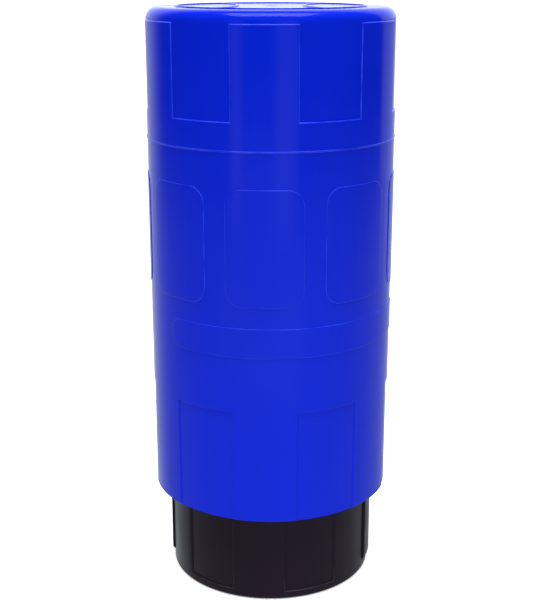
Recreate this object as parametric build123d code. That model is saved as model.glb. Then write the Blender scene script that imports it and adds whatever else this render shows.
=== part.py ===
from build123d import *
import math
import os

# A screw-down tennis ball can. A closed-topped cover screws down over an
# open-topped base tube, and the air squeezed between them keeps the balls lively.
# Millimetres, +Z up. The origin is the centre of the foot, and the cover is
# screwed fully down. Azimuths are in degrees from +X, and the front is -Y.

# ---- driving dimensions ----

# What the can holds
ball_diameter = 67.0
ball_count = 3
ball_side_gap = 2.3         # between a ball and the tube's bore
ball_top_gap = 8.5          # from the top ball to the cover's ceiling

# Base tube
tube_wall = 3.0
floor_thickness = 3.0
floor_lift = 2.5            # hollow under the floor, inside the foot ring
floor_round = 2.0
foot_ring_width = 5.0
foot_height = 3.2           # plain ring below the grip pattern
foot_round = 0.8
grip_relief = 0.6           # how far a merlon stands out of the tube
grip_height = 43.0
pad_relief = 1.5            # how far a grip pad stands out of the tube
pad_slope = 1.2             # chamfer at a pad's lower end
pad_segments = (3, 9)       # counted round from the front segment
mouth_gap = 6.0             # from the tube's mouth to the cover's ceiling
mouth_round = 1.0

# Cover
cover_wall = 3.5
cover_ceiling = 4.0
cover_gap = 3.7             # radial gap between the tube and the cover's bore
rim_height = 35.8           # the cover's rim above the ground, screwed down
rim_chamfer = 1.2
crenel_depth = 0.5
low_crenel_height = 42.3    # up from the rim
high_crenel_height = 32.2   # down from the shoulder
shoulder_round = 4.1
shoulder_land = 0.2         # between the merlons' tops and the rounded shoulder
ceiling_round = 2.0

# Low relief moulded on the cover
relief = 0.25
line_width = 0.7            # the ring line round the cover
line_drop = 42.2            # below the shoulder
tile_count = 8              # plain raised tiles round the middle
tile_share = 0.78           # of the tile pitch that a tile takes
tile_height = 42.0
tile_drop = 55.0            # the tiles' top edge below the shoulder
tile_corner = 6.0
strip_count = 2             # plain raised strips below the tiles
strip_angle = 142.0
strip_height = 11.0
strip_gap = 7.5             # from the tiles down to the strips
strip_corner = 5.0
emblem_relief = 0.4         # the ball emblem on the cover's top
emblem_ridge = 1.0
emblem_radius = 34.5
seam_radius = 60.0
seam_offset = 12.0          # from the emblem's centre to a seam's middle

# The pattern of raised merlons and sunk crenels round both pieces
segment_count = 12
cover_front_edge = -77.8    # azimuth where the cover's front merlon ends
base_front_edge = -81.8     # azimuth where the base's front merlon ends

# Seal flange and its two rings
flange_bottom = 112.0
land_width = 2.4
gland_width = 3.6
bore_clearance = 0.4        # flange and lugs to the cover's bore
seal_cord = 2.65
seal_squeeze = 0.18
seal_spread = 1.12          # a squeezed cord's width over its free diameter
seal_clearance = 0.03       # at a seal ring's inner and outer face

# Screw thread
thread_starts = 3
thread_lead = 30.0
rib_crest = 3.0             # axial width of the cover's rib at its crest
rib_root = 4.6              # and at the cover's bore
rib_height = 2.2
thread_play = 0.4           # axial play on each flank
stop_gap = 0.3              # the ribs land on the flange when the cover is down
rib_head = 6.0              # from the ribs' top ends to the cover's ceiling
lug_length = 15.0
lug_drop = 4.0              # from the tube's mouth to the lugs' top ends
lug_lead_in = 2.2           # slope at the lugs' top ends
weld = 0.4                  # how deep a raised feature is rooted in its wall
cut = 1.0                   # how far a cutting block runs past the surface it cuts

# ---- sizes worked out from them ----

tube_bore = ball_diameter / 2 + ball_side_gap
tube_radius = tube_bore + tube_wall
merlon_radius = tube_radius + grip_relief
pad_radius = tube_radius + pad_relief
grip_top = foot_height + grip_height
floor_top = floor_lift + floor_thickness
ceiling = floor_top + ball_count * ball_diameter + ball_top_gap
tube_top = ceiling - mouth_gap

cover_bore = tube_radius + cover_gap
cover_radius = cover_bore + cover_wall
crenel_radius = cover_radius - crenel_depth
relief_radius = cover_radius + relief
cover_top = ceiling + cover_ceiling
shoulder = cover_top - shoulder_round - shoulder_land
low_crenel_top = rim_height + low_crenel_height
high_crenel_bottom = shoulder - high_crenel_height
line_height = shoulder - line_drop
tile_top = shoulder - tile_drop
tile_bottom = tile_top - tile_height
strip_top = tile_bottom - strip_gap
strip_bottom = strip_top - strip_height

segment_angle = 360 / segment_count

flange_radius = cover_bore - bore_clearance
flange_top = flange_bottom + 3 * land_width + 2 * gland_width
seal_outer = cover_bore - seal_clearance
seal_thickness = seal_cord * (1 - seal_squeeze)
seal_width = seal_cord * seal_spread
seal_inner = seal_outer - seal_thickness
gland_floor = seal_inner - seal_clearance
lower_gland = flange_bottom + land_width + gland_width / 2
upper_gland = lower_gland + land_width + gland_width

thread_pitch = thread_lead / thread_starts
rib_crest_radius = cover_bore - rib_height
rib_bottom = flange_top + stop_gap
rib_top = ceiling - rib_head
flank_slope = (rib_root - rib_crest) / rib_height
lug_top = tube_top - lug_drop
lug_bottom = lug_top - lug_length


def profile(points, roundings):
    """A solid of revolution from (radius, height) points, with rounded corners at some of them."""
    face = make_face(Polyline(*points, close=True))
    for corner, radius in roundings:
        face = fillet(face.vertices().sort_by_distance(corner)[0], radius)
    return revolve(Plane.XZ * face, Axis.Z)


def on_circle(radius, azimuth):
    """A point on a circle about the origin."""
    turn = math.radians(azimuth)
    return (radius * math.cos(turn), radius * math.sin(turn))


def sector(inner, outer, middle, inner_half, outer_half):
    """A flat piece of ring about an azimuth, with its own half angle at each radius."""
    inner_arc = ThreePointArc(*[on_circle(inner, middle + side * inner_half) for side in (-1, 0, 1)])
    outer_arc = ThreePointArc(*[on_circle(outer, middle + side * outer_half) for side in (-1, 0, 1)])
    sides = [Line(inner_arc @ end, outer_arc @ end) for end in (0, 1)]
    return make_face([inner_arc, outer_arc] + sides)


def block(inner, outer, middle, half, low, high):
    """A curved block between two radii and two heights, half degrees each side of an azimuth."""
    return extrude(Pos(0, 0, low) * sector(inner, outer, middle, half, half), high - low)


def segment(inner, outer, front_edge, index, low, high):
    """One segment of the pattern, as a block. The front segment is number 0."""
    middle = front_edge + (index - 0.5) * segment_angle
    return block(inner, outer, middle, segment_angle / 2, low, high)


def raised_panel(middle, angle, low, high, corner):
    """A plain panel in low relief on the cover, with rounded corners."""
    panel = block(cover_bore + weld, relief_radius, middle, angle / 2, low, high)
    corners = panel.edges().filter_by(GeomType.LINE).filter_by(Axis.Z, reverse=True)
    return fillet(corners, corner)


def thread(inner, outer, half_width, low, high, shift):
    """The thread's starts between two heights. half_width(radius) is half their axial width there."""
    degrees_per_mm = 360 / thread_lead
    inner_half = half_width(inner) * degrees_per_mm
    outer_half = half_width(outer) * degrees_per_mm
    length = high - low
    starts = []
    for start in range(thread_starts):
        middle = shift + low * degrees_per_mm + start * 360 / thread_starts
        section = Pos(0, 0, low) * sector(inner, outer, middle, inner_half, outer_half)
        turn = length * degrees_per_mm
        starts.append(Solid.extrude_linear_with_rotation(section.face(), (0, 0, low), (0, 0, length), turn))
    return starts


def rib_half_width(radius):
    """Half the axial width of the cover's rib at a radius."""
    return (rib_root - (cover_bore - radius) * flank_slope) / 2


def lug_half_width(radius):
    """Half the axial width of the base's lug, which fills the space between two ribs, less the play."""
    return thread_pitch / 2 - rib_half_width(radius) - thread_play


def grip_pad(index):
    """A grip pad with a sloped lower end."""
    pad = segment(tube_bore + weld, pad_radius, base_front_edge, index, foot_height, flange_bottom + weld)
    low_edge = pad.edges().filter_by(GeomType.CIRCLE).group_by(Axis.Z)[0].sort_by(SortBy.RADIUS)[-1]
    return chamfer(low_edge, pad_slope)


def make_base_tube():
    """Tube, floor, foot ring, grip pattern, seal flange and thread lugs in one piece."""
    foot_inner = merlon_radius - foot_ring_width
    points = [
        (0, floor_lift),
        (foot_inner, floor_lift),
        (foot_inner, 0),
        (merlon_radius, 0),
        (merlon_radius, foot_height),
        (tube_radius, foot_height),
        (tube_radius, flange_bottom),
        (flange_radius, flange_bottom),
    ]
    for gland in (lower_gland, upper_gland):
        low = gland - gland_width / 2
        high = gland + gland_width / 2
        points += [(flange_radius, low), (gland_floor, low), (gland_floor, high), (flange_radius, high)]
    points += [
        (flange_radius, flange_top),
        (tube_radius, flange_top),
        (tube_radius, tube_top),
        (tube_bore, tube_top),
        (tube_bore, floor_top),
        (0, floor_top),
    ]
    roundings = [
        ((merlon_radius, 0), foot_round),
        ((tube_radius, tube_top), mouth_round),
        ((tube_bore, tube_top), mouth_round),
        ((tube_bore, floor_top), floor_round),
    ]
    body = profile(points, roundings)
    for index in range(0, segment_count, 2):
        body += segment(tube_bore + weld, merlon_radius, base_front_edge, index, foot_height, grip_top)
    for index in pad_segments:
        body += grip_pad(index)
    half_pitch = 180 / thread_starts
    for lug in thread(tube_radius - weld, flange_radius, lug_half_width, lug_bottom, lug_top, half_pitch):
        body += Part([lug]) & lug_envelope()
    return body


def lug_envelope():
    """The space that the lugs fill, sloped at its upper end to lead the cover's ribs in."""
    points = [
        (tube_bore, lug_bottom - cut),
        (flange_radius + cut, lug_bottom - cut),
        (flange_radius + cut, lug_top - lug_lead_in - cut),
        (tube_bore, lug_top - lug_lead_in + flange_radius - tube_bore),
    ]
    return profile(points, [])


def make_cover():
    """A closed-topped sleeve with crenels and low relief outside and the long thread inside."""
    points = [
        (cover_bore + rim_chamfer, rim_height),
        (cover_radius, rim_height),
        (cover_radius, line_height - line_width / 2),
        (relief_radius, line_height - line_width / 2),
        (relief_radius, line_height + line_width / 2),
        (cover_radius, line_height + line_width / 2),
        (cover_radius, shoulder),
        (crenel_radius, shoulder),
        (crenel_radius, cover_top),
        (0, cover_top),
        (0, ceiling),
        (cover_bore, ceiling),
        (cover_bore, rim_height + rim_chamfer),
    ]
    roundings = [
        ((crenel_radius, cover_top), shoulder_round),
        ((cover_bore, ceiling), ceiling_round),
    ]
    body = profile(points, roundings)
    for index in range(1, segment_count, 2):
        for low, high in ((rim_height - cut, low_crenel_top), (high_crenel_bottom, shoulder + cut)):
            body -= segment(crenel_radius, cover_radius + cut, cover_front_edge, index, low, high)
    front = cover_front_edge - segment_angle / 2
    tile_pitch = 360 / tile_count
    for tile in range(tile_count):
        middle = front + tile * tile_pitch
        body += raised_panel(middle, tile_share * tile_pitch, tile_bottom, tile_top, tile_corner)
    for strip in range(strip_count):
        middle = front + tile_pitch / 2 + strip * 360 / strip_count
        body += raised_panel(middle, strip_angle, strip_bottom, strip_top, strip_corner)
    for rib in thread(rib_crest_radius, cover_bore + weld, rib_half_width, rib_bottom, rib_top, 0):
        body += Part([rib])
    return body + ball_emblem()


def ball_emblem():
    """A circle and two curved seams in low relief on the cover's top: a plain ball."""
    half = emblem_ridge / 2
    emblem = Circle(emblem_radius + half) - Circle(emblem_radius - half)
    for side in (-1, 1):
        middle = side * (seam_offset + seam_radius)
        seam = Pos(middle, 0) * (Circle(seam_radius + half) - Circle(seam_radius - half))
        emblem += seam & Circle(emblem_radius)
    return extrude(Pos(0, 0, cover_top - weld) * emblem, emblem_relief + weld)


def make_seal_ring(height):
    """A squeezed O-ring in its gland."""
    section = RectangleRounded(seal_thickness, seal_width, seal_thickness / 2 - 0.05)
    middle = seal_inner + seal_thickness / 2
    return revolve(Plane.XZ * Pos(middle, height) * section, Axis.Z)


os.makedirs("parts", exist_ok=True)
export_step(make_base_tube(), "parts/base_tube.step")
export_step(make_seal_ring(lower_gland), "parts/seal_ring_lower.step")
export_step(make_seal_ring(upper_gland), "parts/seal_ring_upper.step")
export_step(make_cover(), "parts/cover.step")
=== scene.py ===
import math

import bmesh
import bpy
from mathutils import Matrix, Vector


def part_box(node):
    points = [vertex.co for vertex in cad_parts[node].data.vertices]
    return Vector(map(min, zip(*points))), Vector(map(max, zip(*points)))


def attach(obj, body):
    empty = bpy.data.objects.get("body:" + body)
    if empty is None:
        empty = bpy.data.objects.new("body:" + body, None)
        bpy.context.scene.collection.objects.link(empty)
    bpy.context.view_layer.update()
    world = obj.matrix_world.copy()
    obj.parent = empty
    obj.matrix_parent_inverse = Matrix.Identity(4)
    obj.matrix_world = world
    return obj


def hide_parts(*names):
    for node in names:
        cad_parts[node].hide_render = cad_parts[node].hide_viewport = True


# A screw-down tennis ball can: a blue cover over a black base tube, with two seal rings.
# Sizes in the dictionaries are millimetres and degrees. Azimuths run from +X, and the front is -Y.

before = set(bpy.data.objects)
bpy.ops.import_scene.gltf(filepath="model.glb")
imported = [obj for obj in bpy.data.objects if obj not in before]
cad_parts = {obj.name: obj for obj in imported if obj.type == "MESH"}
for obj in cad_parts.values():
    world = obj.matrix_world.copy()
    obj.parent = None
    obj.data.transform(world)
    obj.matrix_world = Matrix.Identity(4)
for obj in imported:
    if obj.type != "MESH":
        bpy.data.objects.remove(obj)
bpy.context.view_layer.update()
print("frame loaded:", sorted(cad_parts))

mm = 0.001
coverLow, coverHigh = (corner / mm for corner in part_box("cover"))
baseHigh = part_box("base_tube")[1] / mm
lowerSealLow, lowerSealHigh = (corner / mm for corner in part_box("seal_ring_lower"))
upperSealLow, upperSealHigh = (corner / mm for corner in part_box("seal_ring_upper"))


studio = {
    "cameraPlace": (-0.0003, -0.4342, 0.2326),
    "cameraPitch": 16.03,
    "lens": 69.56,
    "sensor": 36,
    "nearest": 0.01,
    "floorRadius": 14.0,
    "floorDrop": 0.00015,    # keeps the floor clear of the foot
    "floorColour": (0.90, 0.90, 0.91),
    "floorGlow": 0.40,
    "sunStrength": 2.35,
    "sunSpread": 60.0,
}
lights = {      # place, target, width and height, power, and whether the can mirrors it
    "frontFill": ((-0.15, -0.75, 0.03), (0, 0, 0.04), (0.8, 0.12), 1.15, False),
    "footFill": ((-0.05, -0.32, 0.01), (0, 0, 0.05), (0.5, 0.06), 0.30, False),
    "rightFill": ((0.70, -0.45, 0.03), (0, 0, 0.04), (0.6, 0.12), 0.6, False),
    "softbox": ((0.0, -0.22, 1.2), (0, -0.22, 0), (0.9, 0.6), 14.0, True),
}
around = {      # the room that the can mirrors; an edge is where one part fades into the next
    "tint": (0.88, 0.96, 1.04),
    "frontLow": 0.80,        # what the sides mirror, low in front
    "frontLevel": 0.05,      # and level in front
    "backLeft": 0.97,        # and behind
    "backRight": 0.70,
    "backHigh": 1.45,        # what the flat top mirrors
    "sky": 0.10,
    "panels": ((-36, -26, 0.9), (4, 24, 0.9)),     # soft panels in front: two azimuths and a strength
    "panelSoft": 3,          # degrees either side of a panel's edge
    "panelFoot": (-0.26, -0.14),
    "panelTop": (0.5, 0.3),
    "frontEdge": (-0.26, -0.10),
    "skyEdge": (0.3, 0.5),
    "sideEdge": (-0.1, 0.1),
    "leftEdge": (0.35, 0.75),
    "rightEdge": (0.46, 0.54),
    "backEdge": (-0.01, 0.03),
}


def addNode(tree, kind, links=None, **settings):
    made = tree.nodes.new(kind)
    for name, value in settings.items():
        setattr(made, name, value)
    for key, value in (links or {}).items():
        if isinstance(value, bpy.types.NodeSocket):
            tree.links.new(value, made.inputs[key])
        else:
            made.inputs[key].default_value = value
    return made


def calc(tree, operation, *values):
    return addNode(tree, "ShaderNodeMath", dict(enumerate(values)), operation=operation).outputs[0]


def makeCamera():
    cameraData = bpy.data.cameras.new("camera")
    cameraData.lens = studio["lens"]
    cameraData.sensor_width = studio["sensor"]
    cameraData.clip_start = studio["nearest"]
    camera = bpy.data.objects.new("camera", cameraData)
    camera.location = studio["cameraPlace"]
    camera.rotation_euler = (math.radians(90 - studio["cameraPitch"]), 0, 0)
    bpy.context.scene.collection.objects.link(camera)
    bpy.context.scene.camera = camera


def makeFloor():
    shape = bmesh.new()
    bmesh.ops.create_circle(shape, cap_ends=True, segments=96, radius=studio["floorRadius"])
    mesh = bpy.data.meshes.new("floor")
    shape.to_mesh(mesh)
    shape.free()
    paper = bpy.data.materials.new("floorPaper")
    paper.use_nodes = True
    surface = paper.node_tree.nodes["Principled BSDF"]
    surface.inputs["Base Color"].default_value = (*studio["floorColour"], 1)
    surface.inputs["Roughness"].default_value = 0.95
    surface.inputs["Specular IOR Level"].default_value = 0.0
    surface.inputs["Emission Color"].default_value = (1, 1, 1, 1)
    surface.inputs["Emission Strength"].default_value = studio["floorGlow"]
    mesh.materials.append(paper)
    floor = bpy.data.objects.new("floor", mesh)
    bpy.context.scene.collection.objects.link(floor)
    floor.location.z = -studio["floorDrop"]
    # the world gives the light from below, and what the sides mirror there
    floor.visible_glossy = False
    floor.visible_diffuse = False
    floor.visible_shadow = False


def addLight(name, place, target, size, power, mirrored):
    lightData = bpy.data.lights.new(name, "AREA")
    lightData.shape = "RECTANGLE"
    lightData.size, lightData.size_y = size
    lightData.energy = power
    light = bpy.data.objects.new(name, lightData)
    light.location = place
    light.rotation_euler = (Vector(target) - Vector(place)).to_track_quat("-Z", "Y").to_euler()
    light.visible_camera = False
    light.visible_glossy = mirrored
    bpy.context.scene.collection.objects.link(light)


def makeLights():
    sunData = bpy.data.lights.new("overhead", "SUN")
    sunData.energy = studio["sunStrength"]
    sunData.angle = math.radians(studio["sunSpread"])
    sun = bpy.data.objects.new("overhead", sunData)
    sun.visible_glossy = False
    bpy.context.scene.collection.objects.link(sun)
    for name, values in lights.items():
        addLight(name, *values)


def makeWorld():
    world = bpy.data.worlds.new("studio")
    bpy.context.scene.world = world
    world.use_nodes = True
    tree = world.node_tree
    tree.nodes.clear()
    direction = addNode(tree, "ShaderNodeTexCoord").outputs["Generated"]
    parts = addNode(tree, "ShaderNodeSeparateXYZ", {"Vector": direction}).outputs

    def ramp(value, low, high, lowValue=0.0, highValue=1.0):
        return addNode(tree, "ShaderNodeMapRange", {
            "Value": value, "From Min": low, "From Max": high, "To Min": lowValue, "To Max": highValue,
        }, interpolation_type="SMOOTHSTEP").outputs["Result"]

    def mix(share, first, second):
        return addNode(tree, "ShaderNodeMix", {0: share, 2: first, 3: second}).outputs[0]

    front = ramp(parts["Z"], *around["frontEdge"], around["frontLow"], around["frontLevel"])
    azimuth = calc(tree, "ARCTAN2", parts["X"], calc(tree, "MULTIPLY", parts["Y"], -1.0))
    fromFoot = ramp(parts["Z"], *around["panelFoot"])
    upper = calc(tree, "MULTIPLY", fromFoot, ramp(parts["Z"], *around["panelTop"]))
    soft = around["panelSoft"]
    for first, last, strength in around["panels"]:
        fromFirst = ramp(azimuth, math.radians(first - soft), math.radians(first + soft))
        toLast = ramp(azimuth, math.radians(last + soft), math.radians(last - soft))
        panel = calc(tree, "MULTIPLY", calc(tree, "MULTIPLY", fromFirst, toLast), upper)
        front = calc(tree, "MULTIPLY_ADD", panel, strength, front)
    front = mix(ramp(parts["Z"], *around["skyEdge"]), front, around["sky"])
    onRight = ramp(parts["X"], *around["sideEdge"])
    behind = mix(onRight, ramp(parts["Y"], *around["leftEdge"]), ramp(parts["Y"], *around["rightEdge"]))
    back = mix(onRight, around["backLeft"], around["backRight"])
    back = mix(ramp(parts["Z"], *around["backEdge"]), back, around["backHigh"])
    level = mix(behind, front, back)
    seen = addNode(tree, "ShaderNodeLightPath").outputs["Is Camera Ray"]
    level = mix(seen, level, 1.0)
    colour = addNode(tree, "ShaderNodeMix", {
        0: seen, 6: (*around["tint"], 1), 7: (1, 1, 1, 1),
    }, data_type="RGBA").outputs[2]
    background = addNode(tree, "ShaderNodeBackground", {"Color": colour, "Strength": level})
    output = addNode(tree, "ShaderNodeOutputWorld")
    tree.links.new(background.outputs["Background"], output.inputs["Surface"])


makeCamera()
makeFloor()
makeLights()
makeWorld()
bpy.context.scene.view_settings.view_transform = "Standard"
print("studio ready")


coverFinish = {
    "colour": (0.0022, 0.018, 0.60),
    "shade": (0.0015, 0.014, 0.54),
    "roughness": (0.11, 0.17),
    "scuff": 0.05,            # how much rougher it is where scuffed
    "specular": 0.13,
    # the pale edge colour: edge wear together with a painted highlight along the edges
    "wornAndHighlit": (0.05, 0.10, 0.85),
    "wearAndHighlight": (0.10, 0.60),     # the least and the most wear and painted highlight along an edge
    "skin": 2200,
    "ripple": 260,
    "bump": 0.35,
    "depth": 0.004,
}
baseFinish = {
    "colour": (0.0125, 0.0060, 0.0135),
    "shade": (0.0085, 0.0042, 0.0090),
    "roughness": (0.26, 0.38),
    "scuff": 0.08,
    "specular": 0.11,
    # the pale edge colour: edge wear together with a painted highlight along the edges
    "wornAndHighlit": (0.055, 0.050, 0.055),
    "wearAndHighlight": (0.35, 1.0),
    "skin": 2600,
    "ripple": 420,
    "bump": 0.5,
    "depth": 0.006,
}
sealFinish = {
    "colour": (0.018, 0.018, 0.019),
    "shade": (0.010, 0.010, 0.011),
    "roughness": (0.30, 0.55),
    "scuff": 0.10,
    "specular": 0.45,
    "skin": 3200,
    "ripple": 900,
    "bump": 0.5,
    "depth": 0.008,
}
moulding = {              # what every moulded piece shares: sizes of its patterns, and their strength
    "flow": 14,
    "flowStretch": (1, 1, 0.35),
    "clouds": 45,
    "scuffs": 90,
    "patches": 130,
    "rippleShare": 6.0,
    "wornRough": 0.12,
    "ior": 1.47,
}
edgeBend = (50, 130)      # degrees of bend a millimetre, where the pale edge of wear and painted highlight starts and where it is full
wornAndHighlitHeights = {           # heights in mm between which a piece's edges go from sound to fully worn with a painted highlight
    "cover_shell": [(85, 150)],
    "base_shell": [(10, 6), (60, 80)],
}


def noise(tree, place, scale, detail, stretch=(1, 1, 1)):
    mapped = addNode(tree, "ShaderNodeMapping", {"Vector": place, "Scale": stretch}).outputs["Vector"]
    links = {"Vector": mapped, "Scale": scale, "Detail": detail}
    return addNode(tree, "ShaderNodeTexNoise", links).outputs["Fac"]


def spread(tree, value, low, high, lowValue, highValue):
    return addNode(tree, "ShaderNodeMapRange", {
        "Value": value, "From Min": low, "From Max": high, "To Min": lowValue, "To Max": highValue,
    }).outputs["Result"]


def mouldedPlastic(name, finish):
    # flow marks in the colour, cloudy gloss, a fine moulded skin, faint scuffs, and edges painted paler as
    # wear and as a painted highlight
    material = bpy.data.materials.new(name)
    material.use_nodes = True
    tree = material.node_tree
    surface = tree.nodes["Principled BSDF"]
    place = addNode(tree, "ShaderNodeTexCoord").outputs["Object"]
    flow = spread(tree, noise(tree, place, moulding["flow"], 3, moulding["flowStretch"]), 0.35, 0.65, 0, 1)
    colour = addNode(tree, "ShaderNodeMix", {
        0: flow, 6: (*finish["shade"], 1), 7: (*finish["colour"], 1),
    }, data_type="RGBA").outputs[2]
    cloudy = noise(tree, place, moulding["clouds"], 4)
    scuffs = spread(tree, noise(tree, place, moulding["scuffs"], 8), 0.55, 0.75, 0, 1)
    rough = spread(tree, cloudy, 0.3, 0.7, *finish["roughness"])
    rough = calc(tree, "MULTIPLY_ADD", scuffs, finish["scuff"], rough)
    # edges painted paler: edge wear together with a painted highlight on the edges
    if "wornAndHighlit" in finish:
        edge = addNode(tree, "ShaderNodeAttribute", attribute_name="edgeWearAndHighlight").outputs["Fac"]
        patches = spread(tree, noise(tree, place, moulding["patches"], 3), 0.35, 0.6, *finish["wearAndHighlight"])
        wornAndHighlit = calc(tree, "MULTIPLY", edge, patches)
        colour = addNode(tree, "ShaderNodeMix", {
            0: wornAndHighlit, 6: colour, 7: (*finish["wornAndHighlit"], 1),
        }, data_type="RGBA").outputs[2]
        rough = calc(tree, "MULTIPLY_ADD", wornAndHighlit, moulding["wornRough"], rough)
    tree.links.new(colour, surface.inputs["Base Color"])
    tree.links.new(rough, surface.inputs["Roughness"])
    skin = noise(tree, place, finish["skin"], 2)
    ripple = noise(tree, place, finish["ripple"], 2)
    height = calc(tree, "MULTIPLY_ADD", ripple, moulding["rippleShare"], skin)
    bump = addNode(tree, "ShaderNodeBump", {
        "Height": height, "Strength": finish["bump"], "Distance": finish["depth"] * mm,
    })
    tree.links.new(bump.outputs["Normal"], surface.inputs["Normal"])
    surface.inputs["IOR"].default_value = moulding["ior"]
    surface.inputs["Specular IOR Level"].default_value = finish["specular"]
    return material


coverPlastic = mouldedPlastic("coverPlastic", coverFinish)
basePlastic = mouldedPlastic("basePlastic", baseFinish)
sealRubber = mouldedPlastic("sealRubber", sealFinish)
print("finishes ready")


# across a step between two levels: millimetres from it, and the share of the rise there
stepProfile = (
    (-0.16, 0.0), (-0.07, 0.05), (0.03, 0.48), (0.10, 0.73), (0.20, 0.90), (0.32, 0.98), (0.45, 1.0),
)
stepHold = (-0.45, 0.75)      # the mesh holds the levels flat outside this
# in from a panel's edge and up: shares of the rounding and of the rise
panelEdge = ((0.3, 0.74), (0.6, 0.92), (1.0, 1.0))
arcSteps = 6                  # lines round a quarter of a panel's corner
sharpAngle = 35
mergeDistance = 0.0005 * mm


def stepShare(distance, width=1.0):
    # 0 below a step and 1 above it, with its foot and its shoulder rounded
    distance /= width
    if distance <= stepProfile[0][0]:
        return 0.0
    for (d0, share0), (d1, share1) in zip(stepProfile, stepProfile[1:]):
        if distance <= d1:
            return share0 + (share1 - share0) * (distance - d0) / (d1 - d0)
    return 1.0


def stepLines(place, side, width=1.0):
    # where a mesh needs lines to hold a step at that place; its high side is the + or - side
    held = (stepHold[0], *(distance for distance, share in stepProfile), stepHold[1])
    return [place + side * width * distance for distance in held]


def softOutline(corners, support=0.3):
    # corners are (radius, height, rounding); a line is held at each side of every rounding
    line = []
    for index, (radius, height, rounding) in enumerate(corners):
        here = Vector((radius, height))
        if rounding == 0 or index in (0, len(corners) - 1):
            line.append(here)
            continue
        before = Vector(corners[index - 1][:2]) - here
        after = Vector(corners[index + 1][:2]) - here
        half = before.angle(after) / 2
        reach = rounding / math.tan(half)
        centre = here + (before.normalized() + after.normalized()).normalized() * rounding / math.sin(half)
        start = here + before.normalized() * reach
        end = here + after.normalized() * reach
        sweep = math.pi - 2 * half
        steps = max(4, math.ceil(3 * rounding))
        roomBefore = before.length / 2 - reach
        roomAfter = after.length / 2 - reach
        if roomBefore > 0.05:
            line.append(start + before.normalized() * min(support, roomBefore * 0.8))
        for step in range(steps + 1):
            share = step / steps
            turned = (start - centre) * math.sin((1 - share) * sweep)
            turned += (end - centre) * math.sin(share * sweep)
            line.append(centre + turned / math.sin(sweep))
        if roomAfter > 0.05:
            line.append(end + after.normalized() * min(support, roomAfter * 0.8))
    return [(point.x, point.y) for point in line]


def withLines(outline, heights, nearRadius):
    # the outline with more points where its outer wall crosses these heights
    line = [outline[0]]
    for (r0, z0), (r1, z1) in zip(outline, outline[1:]):
        if abs(r0 - r1) < 0.01 and abs(r0 - nearRadius) < 1.0:
            inside = [z for z in heights if min(z0, z1) + 0.02 < z < max(z0, z1) - 0.02]
            line += [(r0, z) for z in sorted(inside, reverse=z1 < z0)]
        line.append((r1, z1))
    return line


def withRings(outline, spacing):
    # the outline with more points on its long flat runs, such as the top and the floor
    line = [outline[0]]
    for (r0, z0), (r1, z1) in zip(outline, outline[1:]):
        count = max(1, math.ceil(abs(r1 - r0) / spacing))
        line += [(r0 + (r1 - r0) * step / count, z0 + (z1 - z0) * step / count) for step in range(1, count)]
        line.append((r1, z1))
    return line


def ringAngles(edges, radius, spacing, width=1.0):
    # azimuths that hold a step at each edge, and no further apart than the spacing
    held = sorted(
        azimuth + math.degrees(distance / radius)
        for azimuth, highSide in edges
        for distance in stepLines(0, highSide, width)
    )
    angles = []
    for here, after in zip(held, held[1:] + [held[0] + 360]):
        count = max(1, math.ceil((after - here) / spacing))
        angles += [here + (after - here) * step / count for step in range(count)]
    return angles


def finishMesh(name, shape, material):
    bmesh.ops.remove_doubles(shape, verts=shape.verts, dist=mergeDistance)
    bmesh.ops.recalc_face_normals(shape, faces=shape.faces)
    mesh = bpy.data.meshes.new(name)
    shape.to_mesh(mesh)
    shape.free()
    return finishPiece(name, mesh, material)


def markEdges(name, mesh):
    # how tightly the surface turns outwards at each point, kept for the pale edges in the finish: wear and a
    # painted highlight
    wearAndHighlight = [0.0] * len(mesh.vertices)
    shape = bmesh.new()
    shape.from_mesh(mesh)
    for edge in shape.edges:
        if len(edge.link_faces) != 2:
            continue
        area = sum(face.calc_area() for face in edge.link_faces) / 2
        across = area / max(edge.calc_length(), 0.001 * mm)
        bend = math.degrees(edge.calc_face_angle_signed(0)) / max(across / mm, 0.01)
        share = min(max((bend - edgeBend[0]) / (edgeBend[1] - edgeBend[0]), 0), 1)
        for corner in edge.verts:
            wearAndHighlight[corner.index] = max(wearAndHighlight[corner.index], share)
    # the pale edges, wear and painted highlight together, fade out between these heights
    if name in wornAndHighlitHeights:
        for corner in shape.verts:
            handled = [(corner.co.z / mm - sound) / (wornAndHighlit - sound) for sound, wornAndHighlit in wornAndHighlitHeights[name]]
            wearAndHighlight[corner.index] *= min(max(*handled, 0), 1)
    shape.free()
    mesh.attributes.new("edgeWearAndHighlight", "FLOAT", "POINT").data.foreach_set("value", wearAndHighlight)


def finishPiece(name, mesh, material=None):
    markEdges(name, mesh)
    mesh.polygons.foreach_set("use_smooth", [True] * len(mesh.polygons))
    mesh.set_sharp_from_angle(angle=math.radians(sharpAngle))
    if material is not None and not mesh.materials:
        mesh.materials.append(material)
    piece = bpy.data.objects.new(name, mesh)
    bpy.context.scene.collection.objects.link(piece)
    return piece


def segmentShare(azimuth, radius, frontEdge, segments, chosen, stepWidth=1.0):
    # how far a place round the can is inside one of the chosen segments: 0 outside, 1 inside
    width = 360 / segments
    place = (azimuth - frontEdge + width) / width % segments      # 0 to 1 is the front segment
    index = math.floor(place)
    toStart = math.radians((place - index) * width) * radius
    toEnd = math.radians(width) * radius - toStart
    here = index in chosen
    share = 1.0 if here else 0.0
    for neighbour, distance in ((index - 1, toStart), (index + 1, toEnd)):
        if here != (neighbour % segments in chosen):
            rise = stepShare(distance if here else -distance, stepWidth)
            share = min(share, rise) if here else max(share, rise)
    return share


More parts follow.
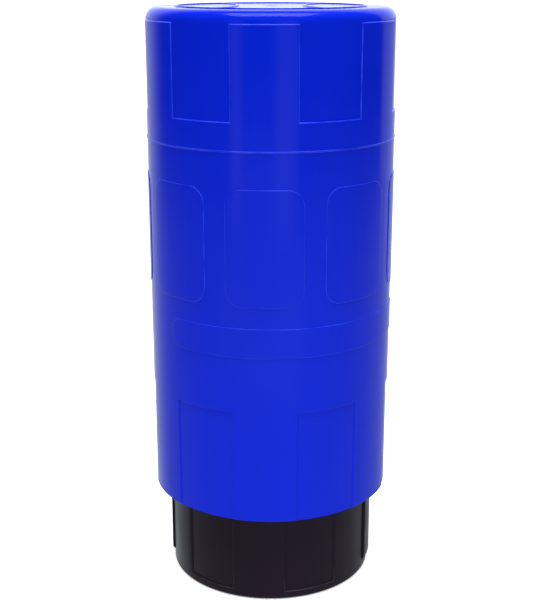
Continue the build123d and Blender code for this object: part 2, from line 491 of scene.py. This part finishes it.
def latheShell(name, outline, angles, radiusAt, material):
    # a closed shell from an outline that starts and ends on the axis
    shape = bmesh.new()
    rows = []
    for radius, height in outline:
        if radius < 0.001:
            rows.append([shape.verts.new((0, 0, height * mm))])
            continue
        row = []
        for azimuth in angles:
            turn = math.radians(azimuth)
            reach = radiusAt(azimuth, radius, height) * mm
            row.append(shape.verts.new((reach * math.cos(turn), reach * math.sin(turn), height * mm)))
        rows.append(row)
    count = len(angles)
    for lower, upper in zip(rows, rows[1:]):
        for step in range(count):
            after = (step + 1) % count
            if len(lower) == 1:
                shape.faces.new((lower[0], upper[after], upper[step]))
            elif len(upper) == 1:
                shape.faces.new((lower[step], lower[after], upper[0]))
            else:
                shape.faces.new((lower[step], lower[after], upper[after], upper[step]))
    return finishMesh(name, shape, material)


def curvedPanel(width, height, corner, radius, rise, sink, spacing=1.6):
    # a panel with rounded corners and edges, bent round the axis at azimuth 0
    across = 0.9 * rise
    rims = [(0, -sink), (0.02, 0.35 * rise)]
    rims += [(inset * across, lift * rise) for inset, lift in panelEdge]
    rims.append((across + 0.35, rise))
    arc = [math.radians(90 * step / arcSteps) for step in range(arcSteps + 1)]
    middleCount = max(2, math.ceil((width - 2 * corner) / spacing))
    shape = bmesh.new()
    loops = []
    for inset, lift in rims:
        halfWidth = width / 2 - inset
        halfHeight = height / 2 - inset
        bend = max(corner - inset, 0.05)
        flat = halfWidth - bend
        points = [(-flat - bend * math.cos(turn), halfHeight - bend + bend * math.sin(turn)) for turn in arc]
        points += [(-flat + 2 * flat * step / middleCount, halfHeight) for step in range(1, middleCount)]
        points += [(flat + bend * math.sin(turn), halfHeight - bend + bend * math.cos(turn)) for turn in arc]
        loop = []
        for side in (1, -1):
            row = []
            for along, up in points:
                turn = along / radius
                reach = (radius + lift) * mm
                row.append(shape.verts.new((reach * math.cos(turn), reach * math.sin(turn), side * up * mm)))
            loop.append(row)
        loops.append(loop)
    count = len(loops[0][0])
    for (top, bottom), (topIn, bottomIn) in zip(loops, loops[1:]):
        for step in range(count - 1):
            shape.faces.new((top[step], top[step + 1], topIn[step + 1], topIn[step]))
            shape.faces.new((bottom[step + 1], bottom[step], bottomIn[step], bottomIn[step + 1]))
        shape.faces.new((bottom[0], top[0], topIn[0], bottomIn[0]))
        shape.faces.new((top[-1], bottom[-1], bottomIn[-1], topIn[-1]))
    for top, bottom in (loops[0], loops[-1]):
        for step in range(count - 1):
            shape.faces.new((bottom[step], bottom[step + 1], top[step + 1], top[step]))
    bmesh.ops.recalc_face_normals(shape, faces=shape.faces)
    mesh = bpy.data.meshes.new("panel")
    shape.to_mesh(mesh)
    shape.free()
    return mesh


def newTree(name, sockets):
    tree = bpy.data.node_groups.new(name, "GeometryNodeTree")
    tree.interface.new_socket("Geometry", in_out="INPUT", socket_type="NodeSocketGeometry")
    for label, kind in sockets:
        tree.interface.new_socket(label, in_out="INPUT", socket_type="NodeSocket" + kind)
    tree.interface.new_socket("Geometry", in_out="OUTPUT", socket_type="NodeSocketGeometry")
    return tree, addNode(tree, "NodeGroupInput").outputs


def endTree(tree, geometry, material):
    real = addNode(tree, "GeometryNodeRealizeInstances", {"Geometry": geometry}).outputs["Geometry"]
    finished = addNode(tree, "GeometryNodeSetMaterial", {"Geometry": real, "Material": material})
    output = addNode(tree, "NodeGroupOutput")
    tree.links.new(finished.outputs["Geometry"], output.inputs["Geometry"])


def bakeTree(name, tree, values, mesh=None):
    holder = bpy.data.objects.new(name + "Holder", mesh or bpy.data.meshes.new(name))
    bpy.context.scene.collection.objects.link(holder)
    modifier = holder.modifiers.new("shape", "NODES")
    modifier.node_group = tree
    for socket in tree.interface.items_tree:
        if socket.in_out == "INPUT" and socket.name in values:
            modifier[socket.identifier] = values[socket.name]
    evaluated = holder.evaluated_get(bpy.context.evaluated_depsgraph_get())
    baked = bpy.data.meshes.new_from_object(evaluated)
    baked.name = name
    bpy.data.objects.remove(holder)
    return finishPiece(name, baked)


def roundedSection(tree, section, corner):
    rounded = addNode(tree, "GeometryNodeFilletCurve", {
        "Curve": section, "Radius": corner, "Limit Radius": True,
    }, mode="POLY")
    rounded.inputs["Count"].default_value = 3
    return rounded.outputs["Curve"]


def ringTree():
    # copies of the incoming mesh round the axis
    tree, given = newTree("ringOfCopies", [
        ("Count", "Int"), ("First turn", "Float"), ("Height", "Float"), ("Material", "Material"),
    ])
    index = addNode(tree, "GeometryNodeInputIndex").outputs["Index"]
    step = calc(tree, "DIVIDE", 2 * math.pi, given["Count"])
    turn = calc(tree, "MULTIPLY_ADD", index, step, given["First turn"])
    rotation = addNode(tree, "ShaderNodeCombineXYZ", {"Z": turn}).outputs["Vector"]
    place = addNode(tree, "ShaderNodeCombineXYZ", {"Z": given["Height"]}).outputs["Vector"]
    points = addNode(tree, "GeometryNodePoints", {
        "Count": given["Count"], "Position": place,
    }).outputs["Points"]
    copies = addNode(tree, "GeometryNodeInstanceOnPoints", {
        "Points": points, "Instance": given["Geometry"], "Rotation": rotation,
    })
    endTree(tree, copies.outputs["Instances"], given["Material"])
    return tree


def threadTree():
    # thread starts that follow a helix, with a tapered run at each end
    tree, given = newTree("threadStarts", [
        ("Radius", "Float"), ("Lead", "Float"), ("Low", "Float"), ("High", "Float"), ("Starts", "Int"),
        ("First turn", "Float"), ("Root width", "Float"), ("Crest width", "Float"), ("Depth", "Float"),
        ("Reach", "Float"), ("Corner", "Float"), ("Run out", "Float"), ("Steps", "Int"), ("Side", "Float"),
        ("Material", "Material"),
    ])
    low = addNode(tree, "ShaderNodeCombineXYZ", {"Z": given["Low"]}).outputs["Vector"]
    high = addNode(tree, "ShaderNodeCombineXYZ", {"Z": given["High"]}).outputs["Vector"]
    line = addNode(tree, "GeometryNodeCurvePrimitiveLine", {"Start": low, "End": high}).outputs["Curve"]
    line = addNode(tree, "GeometryNodeResampleCurve", {
        "Curve": line, "Count": given["Steps"],
    }).outputs["Curve"]
    position = addNode(tree, "GeometryNodeInputPosition").outputs["Position"]
    height = addNode(tree, "ShaderNodeSeparateXYZ", {"Vector": position}).outputs["Z"]
    turns = calc(tree, "DIVIDE", height, given["Lead"])
    turn = calc(tree, "MULTIPLY_ADD", turns, 2 * math.pi, given["First turn"])
    helix = addNode(tree, "ShaderNodeCombineXYZ", {
        "X": calc(tree, "MULTIPLY", given["Radius"], calc(tree, "COSINE", turn)),
        "Y": calc(tree, "MULTIPLY", given["Radius"], calc(tree, "SINE", turn)),
        "Z": height,
    }).outputs["Vector"]
    path = addNode(tree, "GeometryNodeSetPosition", {"Geometry": line, "Position": helix}).outputs["Geometry"]
    path = addNode(tree, "GeometryNodeSetCurveNormal", {"Curve": path}, mode="Z_UP").outputs["Curve"]
    section = addNode(tree, "GeometryNodeCurvePrimitiveQuadrilateral", {
        "Bottom Width": given["Root width"], "Top Width": given["Crest width"],
        "Height": given["Depth"], "Offset": 0.0,
    }, mode="TRAPEZOID").outputs["Curve"]
    shift = addNode(tree, "ShaderNodeCombineXYZ", {"Y": given["Reach"]}).outputs["Vector"]
    placed = addNode(tree, "GeometryNodeTransform", {
        "Geometry": roundedSection(tree, section, given["Corner"]), "Translation": shift,
    }).outputs["Geometry"]
    quarter = calc(tree, "MULTIPLY", given["Side"], -math.pi / 2)      # 1 stands outwards, -1 inwards
    facing = addNode(tree, "ShaderNodeCombineXYZ", {"Z": quarter}).outputs["Vector"]
    turned = addNode(tree, "GeometryNodeTransform", {
        "Geometry": placed, "Rotation": facing,
    }).outputs["Geometry"]
    along = addNode(tree, "GeometryNodeSplineParameter").outputs["Factor"]
    fromEnds = calc(tree, "MINIMUM", along, calc(tree, "SUBTRACT", 1.0, along))
    taper = addNode(tree, "ShaderNodeMapRange", {
        "Value": fromEnds, "From Min": 0.0, "From Max": given["Run out"], "To Min": 0.25, "To Max": 1.0,
    }, interpolation_type="SMOOTHSTEP").outputs["Result"]
    swept = addNode(tree, "GeometryNodeCurveToMesh", {
        "Curve": path, "Profile Curve": turned, "Scale": taper, "Fill Caps": True,
    }).outputs["Mesh"]
    index = addNode(tree, "GeometryNodeInputIndex").outputs["Index"]
    step = calc(tree, "MULTIPLY", index, calc(tree, "DIVIDE", 2 * math.pi, given["Starts"]))
    rotation = addNode(tree, "ShaderNodeCombineXYZ", {"Z": step}).outputs["Vector"]
    points = addNode(tree, "GeometryNodePoints", {"Count": given["Starts"]}).outputs["Points"]
    copies = addNode(tree, "GeometryNodeInstanceOnPoints", {
        "Points": points, "Instance": swept, "Rotation": rotation,
    })
    endTree(tree, copies.outputs["Instances"], given["Material"])
    return tree


def emblemTree():
    # a circle and two curved seams, all one rounded ridge
    tree, given = newTree("ballEmblem", [
        ("Radius", "Float"), ("Seam radius", "Float"), ("Seam offset", "Float"), ("Seam sweep", "Float"),
        ("Ridge width", "Float"), ("Ridge height", "Float"), ("Corner", "Float"), ("Height", "Float"),
        ("Circle steps", "Int"), ("Seam steps", "Int"), ("Material", "Material"),
    ])
    circle = addNode(tree, "GeometryNodeCurvePrimitiveCircle", {
        "Resolution": given["Circle steps"], "Radius": given["Radius"],
    })
    start = calc(tree, "SUBTRACT", math.pi, calc(tree, "MULTIPLY", given["Seam sweep"], 0.5))
    seam = addNode(tree, "GeometryNodeCurveArc", {
        "Resolution": given["Seam steps"], "Radius": given["Seam radius"],
        "Start Angle": start, "Sweep Angle": given["Seam sweep"],
    }).outputs["Curve"]
    centre = calc(tree, "ADD", given["Seam radius"], given["Seam offset"])
    shift = addNode(tree, "ShaderNodeCombineXYZ", {"X": centre}).outputs["Vector"]
    seam = addNode(tree, "GeometryNodeTransform", {
        "Geometry": seam, "Translation": shift,
    }).outputs["Geometry"]
    index = addNode(tree, "GeometryNodeInputIndex").outputs["Index"]
    halfTurn = calc(tree, "MULTIPLY", index, math.pi)
    rotation = addNode(tree, "ShaderNodeCombineXYZ", {"Z": halfTurn}).outputs["Vector"]
    points = addNode(tree, "GeometryNodePoints", {"Count": 2}).outputs["Points"]
    seams = addNode(tree, "GeometryNodeInstanceOnPoints", {
        "Points": points, "Instance": seam, "Rotation": rotation,
    })
    seams = addNode(tree, "GeometryNodeRealizeInstances", {"Geometry": seams.outputs["Instances"]})
    joined = addNode(tree, "GeometryNodeJoinGeometry")
    tree.links.new(circle.outputs["Curve"], joined.inputs["Geometry"])
    tree.links.new(seams.outputs["Geometry"], joined.inputs["Geometry"])
    path = addNode(tree, "GeometryNodeSetCurveNormal", {
        "Curve": joined.outputs["Geometry"],
    }, mode="Z_UP").outputs["Curve"]
    section = addNode(tree, "GeometryNodeCurvePrimitiveQuadrilateral", {
        "Width": given["Ridge width"], "Height": given["Ridge height"],
    }, mode="RECTANGLE").outputs["Curve"]
    ridge = addNode(tree, "GeometryNodeCurveToMesh", {
        "Curve": path, "Profile Curve": roundedSection(tree, section, given["Corner"]), "Fill Caps": True,
    }).outputs["Mesh"]
    lift = addNode(tree, "ShaderNodeCombineXYZ", {"Z": given["Height"]}).outputs["Vector"]
    raised = addNode(tree, "GeometryNodeTransform", {
        "Geometry": ridge, "Translation": lift,
    }).outputs["Geometry"]
    endTree(tree, raised, given["Material"])
    return tree


ringOfCopies = ringTree()
threadStarts = threadTree()
ballEmblem = emblemTree()
print("trees ready")


cover = {
    "segments": 12,
    "frontEdge": -77.8,       # azimuth where the front merlon ends
    "crenelDepth": 0.5,
    "lowCrenels": 42.3,       # up from the rim
    "highCrenels": 32.2,      # down from the shoulder
    "shoulder": 4.3,          # below the flat top
    "roundover": 4.1,
    "wall": 3.5,
    "relief": 0.25,
    "emblemRelief": 0.4,
    "ceiling": 4.0,
    "ceilingRound": 2.0,
    "rimChamfer": 1.2,
    "ceilingRing": 20.0,
    "line": {"drop": 42.2, "width": 0.7},
    "gate": {"radius": 2.6, "stubRadius": 0.91, "stubFoot": 1.092, "stub": 0.25, "dish": 0.45},
    "spacing": 2.2,
    "rowSpacing": 8,
    "rows": 22,
}

coverRadius = coverHigh.x - cover["relief"]
coverBore = coverRadius - cover["wall"]
crenelRadius = coverRadius - cover["crenelDepth"]
coverRim = coverLow.z
coverTop = coverHigh.z - cover["emblemRelief"]
coverCeiling = coverTop - cover["ceiling"]
coverShoulder = coverTop - cover["shoulder"]
merlonSegments = range(0, cover["segments"], 2)
coverEdges = [      # azimuths where a merlon and a crenel meet, and the high side of each
    (cover["frontEdge"] + step * 360 / cover["segments"], 1 if step % 2 else -1)
    for step in range(cover["segments"])
]
lowCrenelTop = coverRim + cover["lowCrenels"]
highCrenelBottom = coverShoulder - cover["highCrenels"]


def coverRadiusAt(azimuth, radius, height):
    if radius < crenelRadius + 0.001 or height > coverShoulder + 0.01:
        return radius
    merlon = segmentShare(azimuth, coverRadius, cover["frontEdge"], cover["segments"], merlonSegments)
    level = max(merlon, stepShare(height - lowCrenelTop) * stepShare(highCrenelBottom - height))
    return crenelRadius + (radius - crenelRadius) * level


def makeCoverShell():
    lineHeight = coverShoulder - cover["line"]["drop"]
    half = cover["line"]["width"] / 2
    gate = cover["gate"]
    corners = [
        (0, coverTop - gate["stub"], 0),
        (gate["stubRadius"], coverTop - gate["stub"], 0.1),
        (gate["stubFoot"], coverTop - gate["dish"], 0.1),
        (gate["radius"] - 0.2, coverTop - gate["dish"], 0.1),
        (gate["radius"], coverTop, 0.15),
        (crenelRadius, coverTop, cover["roundover"]),
        (crenelRadius, coverShoulder, 0),
        (coverRadius, coverShoulder, cover["crenelDepth"] - 0.06),
        (coverRadius, lineHeight + half, 0.04),
        (coverRadius + cover["relief"], lineHeight + half * 0.8, 0.2),
        (coverRadius + cover["relief"], lineHeight - half * 0.8, 0.2),
        (coverRadius, lineHeight - half, 0.04),
        (coverRadius, coverRim, 0.3),
        (coverBore + cover["rimChamfer"], coverRim, 0.2),
        (coverBore, coverRim + cover["rimChamfer"], 0.3),
        (coverBore, coverCeiling, cover["ceilingRound"]),
        (cover["ceilingRing"], coverCeiling, 0),
        (0, coverCeiling, 0),
    ]
    outline = softOutline(corners)
    heights = stepLines(lowCrenelTop, 1) + stepLines(highCrenelBottom, -1)
    heights += [coverRim + cover["rowSpacing"] * row for row in range(1, cover["rows"] + 1)]
    outline = withLines(outline, heights, coverRadius)
    outline = withRings(outline, cover["rowSpacing"])
    angles = ringAngles(coverEdges, coverRadius, cover["spacing"])
    return latheShell("cover_shell", outline, angles, coverRadiusAt, coverPlastic)


coverShell = makeCoverShell()

panelRise = cover["relief"] - 0.005      # a hair under the ring line, inside the CAD box
panelSink = 0.4
tiles = {"count": 8, "share": 0.78, "height": 42.0, "drop": 55.0, "corner": 6.0}
tileMiddle = coverShoulder - tiles["drop"] - tiles["height"] / 2
frontMiddle = cover["frontEdge"] - 180 / cover["segments"]
tileWidth = math.radians(tiles["share"] * 360 / tiles["count"]) * coverRadius
tilePanel = curvedPanel(tileWidth, tiles["height"], tiles["corner"], coverRadius, panelRise, panelSink)
coverTiles = bakeTree("cover_tiles", ringOfCopies, {
    "Count": tiles["count"], "First turn": math.radians(frontMiddle), "Height": tileMiddle * mm,
    "Material": coverPlastic,
}, tilePanel)

strips = {"count": 2, "angle": 142.0, "height": 11.0, "gap": 7.5, "corner": 5.0}
stripMiddle = tileMiddle - tiles["height"] / 2 - strips["gap"] - strips["height"] / 2
stripWidth = math.radians(strips["angle"]) * coverRadius
stripPanel = curvedPanel(stripWidth, strips["height"], strips["corner"], coverRadius, panelRise, panelSink)
coverStrips = bakeTree("cover_strips", ringOfCopies, {
    "Count": strips["count"], "First turn": math.radians(frontMiddle + 180 / tiles["count"]),
    "Height": stripMiddle * mm, "Material": coverPlastic,
}, stripPanel)

emblem = {
    "radius": 34.5, "seamRadius": 60.0, "seamOffset": 12.0, "ridge": 1.0, "corner": 0.22, "sink": 0.3,
    "circleSteps": 144, "seamSteps": 40,
}
seamCentre = emblem["seamRadius"] + emblem["seamOffset"]
squares = seamCentre ** 2 + emblem["seamRadius"] ** 2 - emblem["radius"] ** 2
seamHalf = math.acos(squares / (2 * seamCentre * emblem["seamRadius"]))
ridgeHeight = cover["emblemRelief"] + emblem["sink"]
coverEmblem = bakeTree("cover_emblem", ballEmblem, {
    "Radius": emblem["radius"] * mm, "Seam radius": emblem["seamRadius"] * mm,
    "Seam offset": emblem["seamOffset"] * mm, "Seam sweep": 2 * seamHalf, "Ridge width": emblem["ridge"] * mm,
    "Ridge height": ridgeHeight * mm, "Corner": emblem["corner"] * mm,
    "Height": (coverTop - emblem["sink"] + ridgeHeight / 2) * mm, "Circle steps": emblem["circleSteps"],
    "Seam steps": emblem["seamSteps"], "Material": coverPlastic,
})

thread = {
    "starts": 3,
    "lead": 30.0,
    "crest": 3.0,
    "root": 4.6,
    "height": 2.2,
    "sink": 0.3,
    "sinkWidth": 0.2,         # how much wider the rib is where it is sunk in the wall
    "corner": 0.45,
    "runOut": 0.03,
    "flange": 2.716,          # the flange's top, above the upper seal's
    "gap": 0.3,               # between the flange and the ribs when the cover is down
    "head": 6.0,              # from the ribs' top ends to the ceiling
    "steps": 330,
}
ribLow = upperSealHigh.z + thread["flange"] + thread["gap"] + thread["root"] / 2
ribHigh = coverCeiling - thread["head"] - thread["root"] / 2
coverThread = bakeTree("cover_thread", threadStarts, {
    "Radius": coverBore * mm, "Lead": thread["lead"] * mm, "Low": ribLow * mm, "High": ribHigh * mm,
    "Starts": thread["starts"], "First turn": 0.0, "Root width": (thread["root"] + thread["sinkWidth"]) * mm,
    "Crest width": thread["crest"] * mm, "Depth": (thread["height"] + thread["sink"]) * mm,
    "Reach": (thread["height"] - thread["sink"]) / 2 * mm, "Corner": thread["corner"] * mm,
    "Run out": thread["runOut"], "Steps": thread["steps"], "Side": -1.0, "Material": coverPlastic,
})
print("cover made")


base = {
    "segments": 12,
    "frontEdge": -81.8,
    "wall": 3.0,
    "footWidth": 5.0,
    "footHeight": 3.2,
    "footRound": 0.8,
    "floorLift": 2.5,
    "floor": 3.0,
    "floorRound": 2.0,
    "merlonRelief": 0.6,
    "merlonHeight": 43.0,
    "padRelief": 1.5,
    "padSlope": 1.2,
    "padSegments": (3, 9),
    "stepWidth": 1.7,         # softer steps than the cover's
    "flange": {"stand": 3.3, "land": 2.4, "gland": 3.6, "depth": 1.83},
    "gate": {"radius": 3.0, "pinRadius": 0.9, "pinDrop": 0.35, "dish": 0.3},
    "spacing": 2.5,
    "rowSpacing": 10,
    "rows": 20,
    "ringSpacing": 8,
}

flangeRadius = baseHigh.x
tubeRadius = flangeRadius - base["flange"]["stand"]
tubeBore = tubeRadius - base["wall"]
footRadius = tubeRadius + base["merlonRelief"]
merlonTop = base["footHeight"] + base["merlonHeight"]
glandMiddles = [(lowerSealLow.z + lowerSealHigh.z) / 2, (upperSealLow.z + upperSealHigh.z) / 2]
flangeReach = base["flange"]["land"] + base["flange"]["gland"] / 2
flangeBottom = glandMiddles[0] - flangeReach
flangeTop = glandMiddles[1] + flangeReach
baseEdges = []
for step in range(base["segments"]):      # a pad stands higher than the merlons beside it
    highSide = 1 if step % 2 else -1
    if step in base["padSegments"] or (step - 1) % base["segments"] in base["padSegments"]:
        highSide = -highSide
    baseEdges.append((base["frontEdge"] + step * 360 / base["segments"], highSide))


def baseRadiusAt(azimuth, radius, height):
    if not tubeRadius - 0.1 < radius < footRadius + 0.1 or not 1.0 < height < flangeBottom - 0.05:
        return radius
    where = (azimuth, tubeRadius, base["frontEdge"], base["segments"])
    merlon = segmentShare(*where, range(0, base["segments"], 2), base["stepWidth"])
    merlon *= stepShare(merlonTop - height)
    pad = segmentShare(*where, base["padSegments"])
    above = height - base["footHeight"]
    slope = min(base["padRelief"] - base["padSlope"] + above, base["padRelief"]) if above > 0.02 else 0
    return max(radius, tubeRadius + max(base["merlonRelief"] * merlon, slope * pad))


def makeBaseShell():
    footInner = footRadius - base["footWidth"]
    lift = base["floorLift"]
    gate = base["gate"]
    corners = [
        (0, lift - gate["pinDrop"], 0),
        (gate["pinRadius"], lift - gate["pinDrop"], 0.1),
        (gate["pinRadius"] + 0.1, lift + gate["dish"], 0.1),
        (gate["radius"] - 0.3, lift + gate["dish"], 0.1),
        (gate["radius"], lift, 0.15),
        (footInner, lift, 0.4),
        (footInner, 0, 0.5),
        (footRadius, 0, base["footRound"]),
        (footRadius, base["footHeight"], 0.38),
        (tubeRadius, base["footHeight"], 0.12),
        (tubeRadius, flangeBottom, 0.4),
        (flangeRadius, flangeBottom, 0.3),
    ]
    halfGland = base["flange"]["gland"] / 2
    for middle in glandMiddles:
        corners += [
            (flangeRadius, middle - halfGland, 0.15),
            (flangeRadius - base["flange"]["depth"], middle - halfGland, 0.3),
            (flangeRadius - base["flange"]["depth"], middle + halfGland, 0.3),
            (flangeRadius, middle + halfGland, 0.15),
        ]
    corners += [
        (flangeRadius, flangeTop, 0.3),
        (tubeRadius, flangeTop, 0.4),
        (tubeRadius, baseHigh.z, 1.0),
        (tubeBore, baseHigh.z, 1.0),
        (tubeBore, lift + base["floor"], base["floorRound"]),
        (0, lift + base["floor"], 0),
    ]
    foot = base["footHeight"]
    slopeTop = foot + base["padSlope"]
    heights = stepLines(merlonTop, -1) + [foot + 0.5, slopeTop - 0.08, slopeTop + 0.08, slopeTop + 0.4]
    heights += [base["rowSpacing"] * row for row in range(1, base["rows"] + 1)]
    outline = withLines(softOutline(corners), heights, tubeRadius)
    outline = withRings(outline, base["ringSpacing"])
    angles = ringAngles(baseEdges, tubeRadius, base["spacing"], base["stepWidth"])
    return latheShell("base_shell", outline, angles, baseRadiusAt, basePlastic)


baseShell = makeBaseShell()

lugs = {
    "starts": 3,
    "turn": 60.0,             # half a thread's pitch round from the ribs
    "length": 15.0,
    "drop": 4.0,              # from the mouth to the lugs' top ends
    "root": 7.5,
    "crest": 4.89,
    "sink": 0.3,
    "corner": 0.5,
    "runOut": 0.10,
    "steps": 60,
}
lugReach = flangeRadius - tubeRadius
lugHigh = baseHigh.z - lugs["drop"] - lugs["root"] / 2
lugLow = baseHigh.z - lugs["drop"] - lugs["length"] + lugs["root"] / 2
baseLugs = bakeTree("base_lugs", threadStarts, {
    "Radius": tubeRadius * mm, "Lead": thread["lead"] * mm, "Low": lugLow * mm, "High": lugHigh * mm,
    "Starts": lugs["starts"], "First turn": math.radians(lugs["turn"]), "Root width": lugs["root"] * mm,
    "Crest width": lugs["crest"] * mm, "Depth": (lugReach + lugs["sink"]) * mm,
    "Reach": (lugReach - lugs["sink"]) / 2 * mm, "Corner": lugs["corner"] * mm,
    "Run out": lugs["runOut"], "Steps": lugs["steps"], "Side": 1.0, "Material": basePlastic,
})
print("base tube made")


for node in ("seal_ring_lower", "seal_ring_upper"):
    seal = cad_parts[node]
    seal.data.materials.clear()
    seal.data.materials.append(sealRubber)
print("seal rings finished")


for piece in (coverShell, coverTiles, coverStrips, coverEmblem, coverThread):
    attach(piece, "cover")
for piece in (baseShell, baseLugs):
    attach(piece, "base")
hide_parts("cover")
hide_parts("base_tube")
